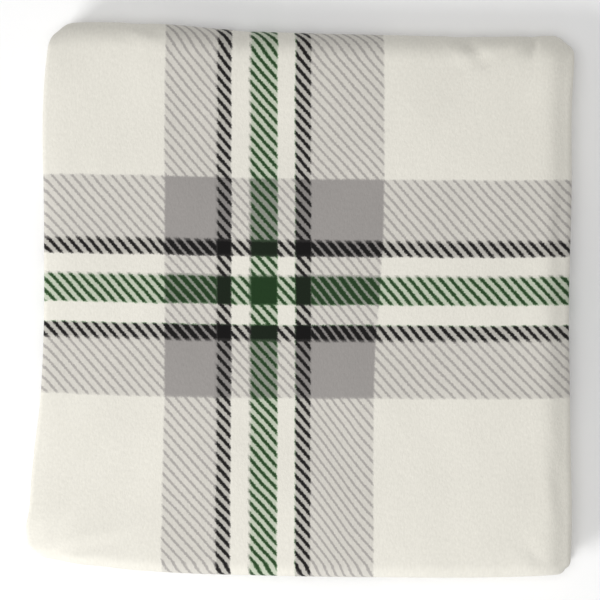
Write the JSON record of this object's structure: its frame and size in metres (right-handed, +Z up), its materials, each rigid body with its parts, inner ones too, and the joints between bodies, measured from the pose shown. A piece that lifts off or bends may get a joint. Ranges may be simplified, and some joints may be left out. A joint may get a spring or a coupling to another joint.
{
  "type": "camp blanket",
  "caption": "Plaid fleece throw folded to a square pack of four three-ply leaves; the upper half opens about the spine fold like a book cover.",
  "frame": {"origin": "middle of the folded blanket's footprint, on the face it rests on", "axes": "+X across the folded blanket, from the left side fold to the right; +Y from the front fold to the spine fold, the folded blanket's longer way; +Z up through the stack of leaves"},
  "size_m": [0.4344, 0.4498, 0.0433],
  "materials": {
    "plush_fleece": "matt",
    "turned_hem": "matt"
  },
  "bodies": {
    "lower_half": {"bottom_leaf": "plush_fleece", "bottom_leaf_hem": "turned_hem", "second_leaf": "plush_fleece", "second_leaf_hem": "turned_hem", "spine_outer_fold": "plush_fleece", "spine_inner_fold": "plush_fleece"},
    "upper_half": {"third_leaf": "plush_fleece", "top_leaf": "plush_fleece", "front_fold": "plush_fleece"}
  },
  "joints": [
    {"name": "spine_fold", "type": "hinge", "parent": "lower_half", "child": "upper_half", "pos_m": [0, 0.20323, 0.02167], "axis": [-1, 0, 0], "range_deg": [0, 180], "deforming": ["spine_outer_fold", "spine_inner_fold"]}
  ]
}
